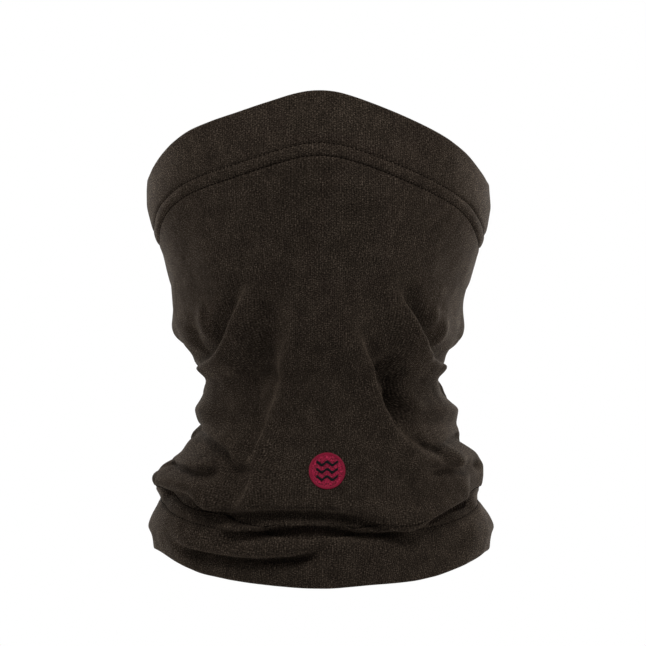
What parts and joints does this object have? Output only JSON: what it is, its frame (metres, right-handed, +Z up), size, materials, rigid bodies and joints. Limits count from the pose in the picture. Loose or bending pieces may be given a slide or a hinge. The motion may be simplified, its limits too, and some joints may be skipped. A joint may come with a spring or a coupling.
{
  "type": "neck gaiter",
  "caption": "Stretch-knit neck gaiter in its worn shape: open tube, turned and cover-stitched hems, flatlock back seam and round embroidered badge.",
  "frame": {"origin": "centre of the neck at the narrowest height of the worn tube", "axes": "+Z up along the neck, -Y out of the front over the chin, +X to the right as seen from the front"},
  "size_m": [0.169, 0.1845, 0.2468],
  "materials": {
    "wool_jersey": "soft heathered single jersey, matt and slightly fuzzy",
    "needle_thread": "spun polyester sewing thread",
    "looper_thread": "bulked looper thread",
    "badge_ground_thread": "crimson rayon embroidery fill",
    "badge_border_thread": "crimson rayon satin stitch",
    "badge_wave_thread": "dark teal rayon satin stitch",
    "stabiliser": "dark cut-away non-woven",
    "label_tape": "blank woven label tape"
  },
  "bodies": {
    "root": {"knit_tube": "wool_jersey", "top_hem_lower_needle_thread": "needle_thread", "top_hem_upper_needle_thread": "needle_thread", "top_hem_looper_thread": "looper_thread", "collar_hem_upper_needle_thread": "needle_thread", "collar_hem_lower_needle_thread": "needle_thread", "collar_hem_looper_thread": "looper_thread", "back_seam_left_needle_thread": "needle_thread", "back_seam_right_needle_thread": "needle_thread", "back_seam_cover_thread": "looper_thread", "back_seam_looper_thread": "looper_thread", "badge_ground": "badge_ground_thread", "badge_border": "badge_border_thread", "badge_waves": "badge_wave_thread", "badge_backing": "stabiliser", "care_label": "label_tape"}
  },
  "joints": []
}
